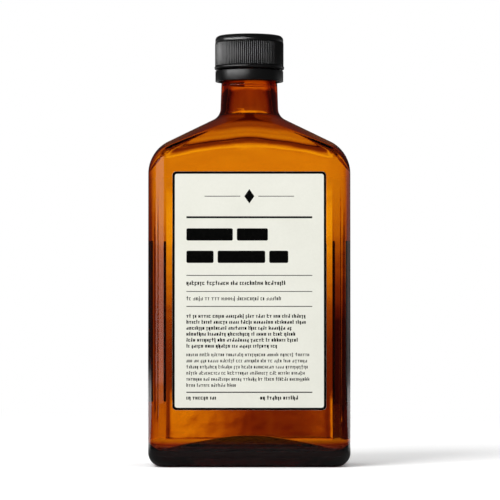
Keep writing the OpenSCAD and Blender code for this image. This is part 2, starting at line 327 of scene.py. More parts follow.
def curveRadii(points, norms, inset):
    # Over the front and back the shoulder's curve starts along a fold that falls gently to both ends, and at
    # the sides it has a radius of its own
    cx, halfDepth = glass["width"] / 2 - glass["edgeRadius"], glass["depth"] / 2
    past = np.maximum(np.abs(points) - (cx, halfDepth - glass["edgeRadius"]), 0) ** 2
    sideShare = past[:, 0] / past.sum(1)
    middle = min(glass["shoulderRadius"], (halfDepth - neckRadius) / (1 - sinSlope) - glass["neckBlendRadius"])
    foldZ = slopeZ(halfDepth, 0) - setback(middle)
    foldZ = foldZ - glass["foldFall"] * np.minimum(np.abs(points[:, 0]) / cx, 1) ** 2
    least = glass["leastFoldShare"] * glass["shoulderRadius"] - inset
    overFace = np.maximum((slopeZ(norms, inset) - foldZ) / setback(1), least)
    return overFace * (1 - sideShare) + (glass["shoulderRadius"] - inset) * sideShare


def shoulderRings(inset, endRadius, blendRadius):
    # Curve, slope and hollow curve from the foot of the shoulder to the foot of the neck, in every direction
    points = outline(inset)
    norms = np.linalg.norm(points, axis=1)
    ways = points / norms[:, None]
    slopeEnd = endRadius + blendRadius * (1 - sinSlope)
    curveR = np.minimum(curveRadii(points, norms, inset), (norms - slopeEnd) / (1 - sinSlope))
    footZ = slopeZ(norms, inset) - setback(curveR)
    rings = []
    for a in np.linspace(0, quarter - glass["slope"], glass["curveSteps"] + 1):
        rings.append(ring(ways, norms - curveR * (1 - math.cos(a)), footZ + curveR * math.sin(a)))
    curveEnd = norms - curveR * (1 - sinSlope)
    for share in np.arange(1, glass["slopeSteps"]) / glass["slopeSteps"]:
        radius = curveEnd + (slopeEnd - curveEnd) * share
        rings.append(ring(ways, radius, slopeZ(radius, inset)))
    topZ = slopeZ(endRadius, inset) + setback(blendRadius)
    for a in np.linspace(quarter - glass["slope"], 0, glass["curveSteps"] + 1):
        rings.append(ring(ways, endRadius + blendRadius * (1 - math.cos(a)), topZ - blendRadius * math.sin(a)))
    return rings


def between(first, last, steps):
    # The rings that a straight wall passes through between two others
    return [first + (last - first) * k / steps for k in range(1, steps)]


def ridge(angles, z, footZ, width):
    # How far a thread stands out, from 0 to 1, in each direction at one height
    height = np.zeros(len(angles))
    for turn in range(math.ceil(glass["threadTurns"])):
        turns = angles / (2 * math.pi) + turn
        share = turns / glass["threadTurns"]
        fade = np.clip(np.minimum(share, 1 - share) / glass["fadeShare"], 0, 1)
        off = np.abs(z - footZ - glass["lead"] * turns)
        flank = np.clip((width / 2 - off) / (width / 2 * (1 - glass["crestShare"])), 0, 1)
        height = np.maximum(height, fade * flank * flank * (3 - 2 * flank))
    return height


def hollowRings():
    # The walls are thicker at their foot than at the shoulder
    footInset, inset, z = glass["footWall"], glass["wall"], glass["baseThickness"]
    floor = floorRings(outline(footInset + glass["innerHeelRadius"]), z, glass["floorRise"])
    heel = heelRings(footInset, glass["innerHeelRadius"], z)
    shoulder = shoulderRings(inset, throatRadius, glass["neckBlendRadius"] + inset)
    return floor + heel + between(heel[-1], shoulder[0], glass["innerWallSteps"]) + shoulder


def outwards(grid):
    # Unit normals of a grid of rings, away from the hollow that it goes round
    across = np.roll(grid, -1, 1) - np.roll(grid, 1, 1)
    normals = np.cross(across, np.gradient(grid, axis=0))
    return normals / np.linalg.norm(normals, axis=2, keepdims=True)


def waveAt(point, reach, shiftX, shiftZ):
    # Smooth noise from -1 to 1, stretched by reach across and upwards
    across, up = reach
    return noise.noise(Vector((point[0] / across + shiftX, point[1] / across, point[2] / up + shiftZ)))


def swell(z, middle, width):
    return math.exp(-((z - middle) / width) ** 2)


def blownSurface():
    # The inside of blown glass isn't as true as the outside: slow waves, settle waves on the shoulder, and a
    # ridge round the throat
    grid = np.array(hollowRings())
    normals = outwards(grid)
    seed = glass["waveSeed"]
    waves = np.zeros(grid.shape[:2])
    for j, row in enumerate(grid):
        for i, point in enumerate(row):
            slow, fine = waveAt(point, glass["slowWave"], 0, seed), waveAt(point, glass["fineWave"], 0, -seed)
            settle = waveAt(point, glass["settleWave"], seed, 0)
            settle = settle * swell(point[2], glass["settleZ"], glass["settleReach"])
            throat = swell(point[2], glass["throatRidgeZ"], glass["throatRidgeWidth"])
            waves[j, i] = glass["waveHeight"] * (slow + glass["fineShare"] * fine)
            waves[j, i] += glass["settleHeight"] * settle - glass["throatRidge"] * throat
    (low, growth), (high, fall) = glass["calmFoot"], glass["calmTop"]
    calm = np.clip((grid[..., 2] - low) / growth, 0, 1) * np.clip((high - grid[..., 2]) / fall, 0, 1)
    return grid + normals * (waves * calm)[..., None], normals


innerGrid, innerNormals = blownSurface()
print("glass hollow made:", innerGrid.shape)


def glassRings():
    directions = outline(0)
    directions = directions / np.linalg.norm(directions, axis=1, keepdims=True)
    angles = np.arctan2(directions[:, 1], directions[:, 0]) % (2 * math.pi)
    foot = floorRings(outline(glass["heelRadius"]), 0, glass["pushUp"])
    heel = heelRings(0, glass["heelRadius"], 0)
    shoulder = shoulderRings(0, neckRadius, glass["neckBlendRadius"])
    rings = foot + heel + between(heel[-1], shoulder[0], glass["outerWallSteps"]) + shoulder
    neckTop = ring(directions, glass["rootRadius"], finishZ)
    rings += between(shoulder[-1], neckTop, glass["neckSteps"]) + [neckTop]
    # the finish: a small step at the seam, the bead, the thread and the rim
    lip, section = glass["lipRadius"], glass["beadSectionRadius"]
    for z in np.arange(finishZ + glass["finishStart"], mouthZ - lip, glass["finishPitch"]):
        radius = np.full(len(angles), glass["rootRadius"] - glass["seam"] * (z < beadZ))
        off = abs(z - beadZ)
        if off < section:
            bead = glass["rootRadius"] + glass["beadDepth"] - section + math.sqrt(section ** 2 - off ** 2)
            radius = np.maximum(radius, bead)
        radius += glass["threadDepth"] * ridge(angles, z, threadZ, glass["threadWidth"])
        rings.append(ring(directions, radius, z))
    finishBore = boreRadius + glass["seam"]
    rim = arc((glass["rootRadius"] - lip, mouthZ - lip), lip, 0, 90, glass["lipSteps"])
    rim += arc((finishBore + lip, mouthZ - lip), lip, 90, 180, glass["lipSteps"])
    rim += [(finishBore, finishZ + glass["boreMiddle"]), (finishBore, finishZ + glass["boreStep"]),
            (boreRadius, finishZ - glass["boreStep"])]
    rings += [ring(directions, radius, z) for radius, z in rim]
    return rings + list(innerGrid[::-1])


def glassMaterial():
    material, start, place = newMaterial("amberGlass")
    x, y, z = place.parts()
    ripples = noiseAt(place, glass["rippleScale"], 2.0) * glass["rippleShare"]
    ripples = ripples + noiseAt(place, glass["fineScale"], 2.0) * glass["fineRippleShare"]
    stipple = noiseAt(place, glass["stippleScale"], 1.0) * (1 - z.ramp(*glass["stippleTop"]))
    seam = (1 - abs(y).ramp(*glass["seamWidth"])) * abs(x).ramp(*glass["seamFrom"])
    inside = (1 - abs(y).ramp(*glass["stepEnd"])) * z.ramp(*glass["stepFoot"]) * (1 - z.ramp(*glass["stepTop"]))
    step = abs(x).ramp(*glass["stepX"]) * inside * abs(y).ramp(*glass["stepY"])
    height = ripples * glass["rippleHeight"] + stipple * glass["stippleHeight"]
    clearMaterial(start, glass, height + seam * glass["seamHeight"] + step * glass["stepHeight"])
    return material


bottle = putInScene("amber_bottle", meshFromRings("amber_bottle", glassRings()), glassMaterial())
print("bottle made:", len(bottle.data.polygons), "faces")


# the contents

liquid = {
    "surfaceDrop": 0.9, "overlap": 0.08, "meniscus": 0.7, "meniscusWidth": 2.2, "topSteps": 10,
    "tint": (0.96, 0.84, 0.6, 1), "tintDensity": 8, "ior": 1.34, "specular": 0.1,
    "swirlScale": 90, "swirlHeight": 0.00002,
}
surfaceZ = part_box("mouthwash")[1].z / mm - liquid["surfaceDrop"]


def liquidMesh():
    # The liquid reaches just into the glass, so no film of air shows between them
    skin = innerGrid + innerNormals * liquid["overlap"]
    top = int(np.argmax(skin[:, 0, 2] > surfaceZ))
    below, above = skin[top - 1], skin[top]
    edge = below + (above - below) * ((surfaceZ - below[:, 2:]) / (above[:, 2:] - below[:, 2:]))
    rings = list(skin[:top]) + [edge]
    reach = np.linalg.norm(edge[:, :2], axis=1)
    directions = edge[:, :2] / reach[:, None]
    for share in np.linspace(1, 0, liquid["topSteps"] + 1)[1:-1]:
        inwards = (1 - share) * reach.mean()
        drop = liquid["meniscus"] * (1 - math.exp(-inwards / liquid["meniscusWidth"]))
        rings.append(ring(directions, reach * share, surfaceZ - drop))
    return meshFromRings("mouthwash_liquid", rings)


def liquidMaterial():
    material, start, place = newMaterial("clearMouthwash")
    clearMaterial(start, liquid, noiseAt(place, liquid["swirlScale"], 1.0) * liquid["swirlHeight"])
    return material


mouthwash = putInScene("mouthwash_liquid", liquidMesh(), liquidMaterial())
print("contents made:", len(mouthwash.data.polygons), "faces,", round(signedVolume(mouthwash.data) * 1e6, 1), "ml")


# the labels

label = {
    "paperGap": 0.01, "paperThickness": 0.105, "ink": 0.01, "cornerRadius": 1.7, "cornerSteps": 8,
    "borderEdge": 0.02, "border": 1.06, "borderRounding": 0.6, "margin": 6.2,
    # a made-up sign, in shares of its height
    "signWidths": [0.55, 0.7, 0.8, 0.45], "signSpace": 0.24, "wordSpace": 0.5, "wordReach": 0.9,
    "tallChance": 0.22, "tallHeight": 1.4, "deepChance": 0.12, "deepReach": 0.35, "barStroke": 0.8,
    # the look: a roughness is its least value and what the pattern adds
    "paperColours": [(0.79, 0.79, 0.705, 1), (0.84, 0.84, 0.755, 1)], "paperRoughness": (0.5, 0.2),
    "fibreScale": 900, "fibreHeight": 0.00002, "cloudScale": 45,
    "inkColours": [(0.0012, 0.0012, 0.0011, 1), (0.0035, 0.0035, 0.003, 1)], "inkRoughness": (0.5, 0.15),
    "inkScale": 1400, "inkSpecular": 0.1, "inkHeight": 0.00001,
}
# Drops are measured down from the label's top. A rule is (drop, thickness). A block of signs is (start, length, drop,
# rows, row pitch, how much shorter its last row is, height of a sign, stroke): a start below 0 counts from the
# right margin, and without a length the block goes up to that margin.
frontPrint = {
    "seed": 7, "rules": [(20.3, 0.85), (46.0, 0.32), (53.1, 0.3), (59.7, 0.34), (97.6, 0.46)],
    "ornamentDrop": 11, "ornamentInset": 8, "ornamentGap": 4, "ornamentStroke": 0.3, "lozenge": (2.2, 3.2),
    "titleDrop": 30.6, "titlePitch": 9.9, "titleHeight": 5.4, "titleSpace": 1.8, "titleRounding": 0.7,
    "titleBars": [(20.5, 13.7), (12.0, 21.0, 8.4)],
    "blocks": [(0, 45, 50.2, 1, 0, 0, 1.35, 0.44), (0, 43.5, 57.0, 1, 0, 0, 1.3, 0.31),
               (0, None, 64.7, 6, 2.64, 14, 1.2, 0.42), (0, None, 81.7, 6, 2.7, 32, 1.15, 0.3),
               (0, 21, 100.8, 1, 0, 0, 1.25, 0.43), (-23, None, 100.8, 1, 0, 0, 1.25, 0.43)],
}
backPrint = {
    "seed": 8, "rules": [(13.6, 0.22), (41.4, 0.22), (60.2, 0.22)],
    "blocks": [(0, None, drop, rows, 2.9, 18, 1.0, 0.17) for drop, rows in ((7.0, 2), (17.6, 8), (45.4, 5), (64.2, 1))],
}
faceY = glass["depth"] / 2
paperFront = faceY + label["paperThickness"]
inkFront = paperFront + label["ink"]
inkBack = paperFront - label["ink"] / 2


def roundedOutline(x0, x1, z0, z1, radius):
    points = []
    for k, (cx, cz) in enumerate([(x1 - radius, z1 - radius), (x0 + radius, z1 - radius),
                                  (x0 + radius, z0 + radius), (x1 - radius, z0 + radius)]):
        for a in quarter * (k + np.linspace(0, 1, label["cornerSteps"] + 1)):
            points.append((cx + radius * math.cos(a), cz + radius * math.sin(a)))
    return points


class LabelMesh:
    # Thin closed slabs on the front face, of paper (material 0) or ink (material 1)
    def __init__(self):
        self.points, self.faces, self.slots = [], [], []

    def slab(self, edge, near=inkBack, far=inkFront, slot=1):
        base, count = len(self.points), len(edge)
        self.points += [(x, -far, z) for x, z in edge] + [(x, -near, z) for x, z in edge]
        around = [(base + i, base + (i + 1) % count, base + count + (i + 1) % count, base + count + i)
                  for i in range(count)]
        faces = [tuple(range(base, base + count)), tuple(range(base + 2 * count - 1, base + count - 1, -1))]
        self.faces += faces + [face[::-1] for face in around]
        self.slots += [slot] * (count + 2)

    def border(self, outer, inner):
        base, count = len(self.points), len(outer)
        for depth in (inkFront, inkBack):
            for loop in (outer, inner):
                self.points += [(x, -depth, z) for x, z in loop]
        for i in range(count):
            k = (i + 1) % count
            o, n, b, c = base, base + count, base + 2 * count, base + 3 * count
            self.faces += [(o + i, o + k, n + k, n + i), (b + k, b + i, c + i, c + k),
                           (o + k, o + i, b + i, b + k), (n + i, n + k, c + k, c + i)]
            self.slots += [1] * 4

    def mesh(self, name):
        mesh = bpy.data.meshes.new(name)
        mesh.from_pydata((np.array(self.points) * mm).tolist(), [], self.faces)
        mesh.polygons.foreach_set("material_index", self.slots)
        mesh.update()
        return mesh


def box(x0, x1, z0, z1):
    return [(x1, z1), (x0, z1), (x0, z0), (x1, z0)]


def mark(sheet, x, z, high, stroke, draw):
    # One made-up sign of a greeked line: a few strokes that are no letter
    width = high * draw.choice(label["signWidths"])
    stems, bars = draw.choice([([0], [0, 1]), ([0, 1], [1]), ([1], [0, 0.5]), ([0, 1], [0.5]), ([0.5], [1])])
    tall = draw.random() < label["tallChance"]
    deep = draw.random() < label["deepChance"]
    for share in stems:
        left = x + share * (width - stroke)
        top = z + high * (label["tallHeight"] if tall and share == stems[0] else 1)
        foot = z - high * (label["deepReach"] if deep and share == stems[-1] else 0)
        sheet.slab(box(left, left + stroke, foot, top))
    barStroke = stroke * label["barStroke"]
    for share in bars:
        foot = z + share * (high - barStroke)
        sheet.slab(box(x, x + width, foot, foot + barStroke))
    return x + width


def greekedLine(sheet, x, end, z, high, stroke, draw):
    # Words of made-up signs from x, up to the end
    while True:
        letters = draw.choice(range(2, 10))
        if x + letters * high * label["wordReach"] > end:
            return
        for _ in range(letters):
            x = mark(sheet, x, z, high, stroke, draw) + high * label["signSpace"]
        x += high * label["wordSpace"]


def ornament(sheet, left, right, z):
    # A line on each side of a lozenge
    middle, gap, inset = (left + right) / 2, frontPrint["ornamentGap"], frontPrint["ornamentInset"]
    half = frontPrint["ornamentStroke"] / 2
    sheet.slab(box(left + inset, middle - gap, z - half, z + half))
    sheet.slab(box(middle + gap, right - inset, z - half, z + half))
    wide, high = frontPrint["lozenge"]
    sheet.slab([(middle + wide, z), (middle, z + high), (middle - wide, z), (middle, z - high)])


def titleBars(sheet, left, topZ):
    for row, widths in enumerate(frontPrint["titleBars"]):
        x, z = left, topZ - frontPrint["titleDrop"] - row * frontPrint["titlePitch"]
        for width in widths:
            sheet.slab(roundedOutline(x, x + width, z, z + frontPrint["titleHeight"], frontPrint["titleRounding"]))
            x += width + frontPrint["titleSpace"]


def makeLabel(node, prints):
    low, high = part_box(node)
    x0, x1, z0, z1 = low.x / mm, high.x / mm, low.z / mm, high.z / mm
    corner, b, e = label["cornerRadius"], label["border"], label["borderEdge"]
    sheet = LabelMesh()
    sheet.slab(roundedOutline(x0, x1, z0, z1, corner), faceY + label["paperGap"], paperFront, 0)
    sheet.border(roundedOutline(x0 + e, x1 - e, z0 + e, z1 - e, corner),
                 roundedOutline(x0 + b, x1 - b, z0 + b, z1 - b, corner - b * label["borderRounding"]))
    left, right = x0 + label["margin"], x1 - label["margin"]
    for drop, thick in prints["rules"]:
        sheet.slab(box(left, right, z1 - drop - thick / 2, z1 - drop + thick / 2))
    if prints is frontPrint:
        ornament(sheet, left, right, z1 - frontPrint["ornamentDrop"])
        titleBars(sheet, left, z1)
    draw = random.Random(prints["seed"])
    for start, length, drop, rows, pitch, shorter, high, stroke in prints["blocks"]:
        x = (right if start < 0 else left) + start
        end = x + length if length else right
        for row in range(rows):
            short = shorter if row == rows - 1 else 0
            greekedLine(sheet, x, end - short, z1 - drop - row * pitch, high, stroke, draw)
    mesh = sheet.mesh(node + "_paper")
    if prints is backPrint:
        for vertex in mesh.vertices:  # half a turn about the bottle's axis
            vertex.co.x, vertex.co.y = -vertex.co.x, -vertex.co.y
    return putInScene(mesh.name, mesh, paper, ink)


def paperMaterial():
    material, start, place = newMaterial("labelPaper")
    fibres = noiseAt(place, label["fibreScale"], 4.0, 0.6)
    clouds = noiseAt(place, label["cloudScale"], 2.0)
    least, more = label["paperRoughness"]
    shader = start.add("ShaderNodeBsdfPrincipled", None, {
        "Base Color": (clouds * 0.6 + fibres * 0.4).ramp(0.25, 0.75).mix(*label["paperColours"]),
        "Roughness": least + fibres * more, "Normal": bump(fibres * label["fibreHeight"]),
    })
    outputNode(start, {"Surface": shader})
    return material


def inkMaterial():
    material, start, place = newMaterial("printingInk")
    density = noiseAt(place, label["inkScale"], 2.0)
    least, more = label["inkRoughness"]
    shader = start.add("ShaderNodeBsdfPrincipled", None, {
        "Base Color": density.ramp(0.3, 0.8).mix(*label["inkColours"]), "Roughness": least + density * more,
        "Specular IOR Level": label["inkSpecular"], "Normal": bump(density * label["inkHeight"]),
    })
    outputNode(start, {"Surface": shader})
    return material


paper, ink = paperMaterial(), inkMaterial()
frontLabel, backLabel = makeLabel("front_label", frontPrint), makeLabel("back_label", backPrint)
print("labels made:", len(frontLabel.data.polygons), len(backLabel.data.polygons), "faces")


# the cap and its liner

cap = {
    "height": 15.3, "topThickness": 1.6, "edgeRadius": 2, "crownHeight": 3, "skirtThickness": 0.9,
    "crownDepth": 0.4, "ribCount": 105, "ribRise": 0.52, "ribDepth": 0.4, "collarHeight": 1.4,
    "collarDepth": 0.78, "collarBevel": 0.4, "threadWidth": 1.3, "threadGap": 0.3, "crestGap": 0.4,
    "flankGap": 0.2, "threadPitch": 0.2, "around": 210,
    # the gate's mark in a shallow dish, as (radius, drop below the top), and the slight crown of the top round it
    "gate": [(0.25, 0.14), (0.5, 0.15), (0.62, 0.32), (1.6, 0.34), (2.0, 0.12), (2.2, 0.09)],
    "crownFrom": 2.6, "crownFall": 0.08,
    # a rib's section, as (side, height) in shares of its pitch and depth, and its height left at its two ends
    "ribSection": [(-0.5, 0.0), (-0.3, 0.62), (-0.12, 0.97), (0.12, 0.97), (0.3, 0.62), (0.5, 0.0)],
    "ribFootShare": 0.85, "ribTopShare": 0.72, "ribEnd": 0.5, "ribRoot": 0.25,
    # the look: a roughness is its least value and what the patterns add
    "colours": [(0.0016, 0.0016, 0.0018, 1), (0.0028, 0.0028, 0.003, 1)], "roughness": (0.3, 0.08, 0.04),
    "wearScale": 70, "grainScale": 1800, "grainHeight": 0.00002, "ior": 1.52, "specular": 0.9,
}
foam = {
    "thickness": 1, "gap": 0.25, "edgeRadius": 0.12, "around": 96,
    "colours": [(0.74, 0.74, 0.72, 1), (0.8, 0.8, 0.78, 1)], "roughness": (0.7, 0.1),
    "toneScale": 300, "cellScale": 2600, "cellHeight": 0.00004,
}
capTopZ = mouthZ + foam["thickness"] + cap["topThickness"]
capZ = capTopZ - cap["height"]
crownZ = capTopZ - cap["crownHeight"]
capBore = glass["rootRadius"] + glass["threadDepth"] + cap["threadGap"]
skirtRadius = capBore + cap["skirtThickness"]
ceilingZ = capTopZ - cap["topThickness"]


def capMesh():
    directions = roundDirections(cap["around"])
    angles = 2 * math.pi * np.arange(cap["around"]) / cap["around"]
    crown, collar = skirtRadius + cap["crownDepth"], skirtRadius + cap["collarDepth"]
    edge, bevel = cap["edgeRadius"], cap["collarBevel"]
    # from the middle of the top down the outside, with its corners softened by tenths of a millimetre
    profile = [(r, capTopZ - drop) for r, drop in cap["gate"]]
    for r in np.linspace(cap["crownFrom"], crown - edge, 12):
        profile.append((r, capTopZ - cap["crownFall"] * (1 - (r / (crown - edge)) ** 2)))
    profile += arc((crown - edge, capTopZ - edge), edge, 90, 0, 12)[1:]
    profile += [(crown, crownZ + 0.15), (crown - 0.06, crownZ + 0.03), (crown - 0.2, crownZ),
                (skirtRadius, crownZ - 0.12)]
    shelfZ = capZ + cap["collarHeight"]
    profile += [(skirtRadius, z) for z in np.linspace(crownZ - 0.4, shelfZ + 0.25, 8)]
    profile += [(skirtRadius + 0.1, shelfZ + 0.06), (collar - 0.22, shelfZ), (collar - 0.05, shelfZ - 0.07),
                (collar, shelfZ - 0.22), (collar, capZ + bevel), (collar - bevel, capZ), (capBore + 0.25, capZ)]
    rings = [ring(directions, r, z) for r, z in profile]
    # up the inside with its thread, and back to the middle under the ceiling
    crest = glass["rootRadius"] + cap["crestGap"]
    footZ = threadZ - (glass["threadWidth"] + cap["threadWidth"] * glass["crestShare"]) / 2 - cap["flankGap"]
    for z in np.arange(capZ + 0.25, ceilingZ - 0.4, cap["threadPitch"]):
        radius = capBore - (capBore - crest) * ridge(angles, z, footZ, cap["threadWidth"])
        rings.append(ring(directions, radius, z))
    for r, z in [(capBore, ceilingZ - 0.35), (capBore - 0.1, ceilingZ - 0.08), (capBore - 0.35, ceilingZ),
                 (capBore * 0.6, ceilingZ), (capBore * 0.2, ceilingZ)]:
        rings.append(ring(directions, r, z))
    return meshFromRings("cap_body", rings)


def ribMesh():
    # One grip rib, at +X: a rounded ridge that sinks at its two ends
    pitch = 2 * math.pi * skirtRadius / cap["ribCount"]
    foot = skirtRadius + cap["ribRise"] - cap["ribDepth"]
    shelfZ, root = capZ + cap["collarHeight"], foot - cap["ribRoot"]
    levels = [(shelfZ - 0.05, cap["ribFootShare"]), (shelfZ + cap["ribEnd"], 1.0),
              (crownZ - cap["ribEnd"], 1.0), (crownZ + 0.02, cap["ribTopShare"])]
    rings = []
    for z, full in levels:
        points = [(foot + cap["ribDepth"] * out * full, side * pitch, z) for side, out in cap["ribSection"]]
        rings.append(np.array([(root, -0.5 * pitch, z)] + points + [(root, 0.5 * pitch, z)]))
    return meshFromRings("cap_rib", rings)


def roundArray(name, master, count, material):
    # Copies of one mesh, turned about the bottle's axis: count of them at even angles
    tree = bpy.data.node_groups.new(name, "GeometryNodeTree")
    tree.interface.new_socket("Geometry", in_out="INPUT", socket_type="NodeSocketGeometry")
    tree.interface.new_socket("Count", in_out="INPUT", socket_type="NodeSocketInt")
    tree.interface.new_socket("Geometry", in_out="OUTPUT", socket_type="NodeSocketGeometry")
    source = tree.nodes.new("NodeGroupInput")
    given = {s.name: Socket(tree, s) for s in source.outputs if s.name}
    points = given["Count"].add("GeometryNodePoints", None, {"Count": given["Count"]})
    angle = points.add("GeometryNodeInputIndex") * (2 * math.pi) / given["Count"]
    spin = angle.add("ShaderNodeCombineXYZ", None, {"Z": angle})
    copies = points.add("GeometryNodeInstanceOnPoints", None,
                        {"Points": points, "Instance": given["Geometry"], "Rotation": spin})
    solid = copies.add("GeometryNodeRealizeInstances", None, {"Geometry": copies})
    painted = solid.add("GeometryNodeSetMaterial", None, {"Geometry": solid, "Material": material})
    result = tree.nodes.new("NodeGroupOutput")
    tree.links.new(painted.socket, result.inputs["Geometry"])
    carrier = putInScene(name, master)
    modifier = carrier.modifiers.new(name, "NODES")
    modifier.node_group = tree
    modifier[tree.interface.items_tree["Count"].identifier] = count
    evaluated = carrier.evaluated_get(bpy.context.evaluated_depsgraph_get())
    mesh = bpy.data.meshes.new_from_object(evaluated)
    carrier.modifiers.remove(modifier)
    bpy.data.objects.remove(carrier)
    return mesh


def plasticMaterial():
    material, start, place = newMaterial("blackPlastic")
    grain = noiseAt(place, cap["grainScale"], 2.0)
    wear = noiseAt(place, cap["wearScale"], 3.0).ramp(0.35, 0.75)
    least, fromWear, fromGrain = cap["roughness"]
    shader = start.add("ShaderNodeBsdfPrincipled", None, {
        "Base Color": wear.mix(*cap["colours"]), "Roughness": least + wear * fromWear + grain * fromGrain,
        "IOR": cap["ior"], "Specular IOR Level": cap["specular"], "Normal": bump(grain * cap["grainHeight"]),
    })
    outputNode(start, {"Surface": shader})
    return material


plastic = plasticMaterial()
capShell = putInScene("ribbed_cap", joined("ribbed_cap", capMesh(),
                      roundArray("cap_ribs", ribMesh(), cap["ribCount"], plastic)), plastic)
print("cap made:", len(capShell.data.polygons), "faces")


def foamMaterial():
    material, start, place = newMaterial("linerFoam")
    cells = place.add("ShaderNodeTexVoronoi", None, {"Vector": place, "Scale": foam["cellScale"]}, "Distance")
    tone = noiseAt(place, foam["toneScale"], 2.0).ramp(0.3, 0.7)
    least, more = foam["roughness"]
    shader = start.add("ShaderNodeBsdfPrincipled", None, {
        "Base Color": tone.mix(*foam["colours"]), "Roughness": least + tone * more,
        "Normal": bump(cells * foam["cellHeight"]),
    })
    outputNode(start, {"Surface": shader})
    return material


def linerMesh():
    directions = roundDirections(foam["around"])
    radius, soft = capBore - foam["gap"], foam["edgeRadius"]
    low, high = mouthZ, mouthZ + foam["thickness"]
    profile = [(radius * 0.25, high), (radius * 0.7, high)] + arc((radius - soft, high - soft), soft, 90, 0, 3)
    profile += arc((radius - soft, low + soft), soft, 0, -90, 3) + [(radius * 0.7, low), (radius * 0.25, low)]
    return meshFromRings("foam_liner", [ring(directions, r, z) for r, z in profile])


liner = putInScene("foam_liner", linerMesh(), foamMaterial())


# the tamper band

band = {
    "height": 4.8, "gap": 0.6, "thickness": 1.08, "flapThickness": 0.6, "beadGap": 0.3, "flapGap": 0.35,
    "soft": 0.18, "around": 192,
    "bridgeCount": 10, "bridgeWidth": 0.6, "bridgeGap": 0.1, "bridgeTaper": [1.0, 0.95, 0.6],
}
bandTopZ = capZ - band["gap"]
bandZ = bandTopZ - band["height"]
bandBore = glass["rootRadius"] + glass["beadDepth"] + band["beadGap"]


def bandMesh():
    # From the top down the outside, round the foot, up and down the flap that catches under the bead, and up the bore
    directions = roundDirections(band["around"])
    outer, soft = bandBore + band["thickness"], band["soft"]
    flapRadius, thick = glass["rootRadius"] + band["flapGap"], band["flapThickness"]
    flapTopZ = beadZ - glass["beadSectionRadius"] - band["flapGap"]
    profile = arc((outer - soft, bandTopZ - soft), soft, 90, 0, 4) + arc((outer - soft, bandZ + soft), soft, 0, -90, 4)
    profile += [(bandBore + 0.1, bandZ), (bandBore - 0.15, bandZ + 0.12), (flapRadius + 0.1, flapTopZ - thick),
                (flapRadius + 0.02, flapTopZ - thick + 0.1), (flapRadius + thick - 0.1, flapTopZ - 0.02),
                (flapRadius + thick + 0.1, flapTopZ - 0.04), (bandBore - 0.08, bandZ + 2 * thick + 0.12),
                (bandBore, bandZ + 2 * thick + 0.35), (bandBore, bandTopZ - soft), (bandBore + soft, bandTopZ)]
    return meshFromRings("band_ring", [ring(directions, r, z) for r, z in profile], poles=False)


def bridgeMesh():
    # One bridge, at +X, thinner where it was to tear
    middle = (bandBore + skirtRadius) / 2
    corners = ((1, -1), (1, 1), (-1, 1), (-1, -1))
    heights = [bandTopZ - 0.3, bandTopZ + 0.05, bandTopZ + band["gap"] - band["bridgeGap"]]
    rings = []
    for z, share in zip(heights, band["bridgeTaper"]):
        reach = band["bridgeWidth"] / 2 * share
        rings.append(np.array([(middle + sx * reach, sy * reach, z) for sx, sy in corners]))
    return meshFromRings("band_bridge", rings)


tamperBand = putInScene("tamper_ring", joined("tamper_ring", bandMesh(),
                        roundArray("band_bridges", bridgeMesh(), band["bridgeCount"], plastic)), plastic)
print("band made:", len(tamperBand.data.polygons), "faces")

for piece, body, node, slot in (
    (bottle, "bottle_body", "bottle", "amber_glass"),
    (mouthwash, "bottle_body", "mouthwash", "liquid"),
    (frontLabel, "bottle_body", "front_label", "label_paper"),
    (backLabel, "bottle_body", "back_label", "label_paper"),
    (capShell, "cap_body", "cap_shell", "cap_plastic"),
    (liner, "liner_body", "cap_liner", "liner_foam"),
    (tamperBand, "band_body", "tamper_band", "band_plastic"),
):
    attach(piece, body)
    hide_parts(node)
print("pieces on their bodies")


# studio

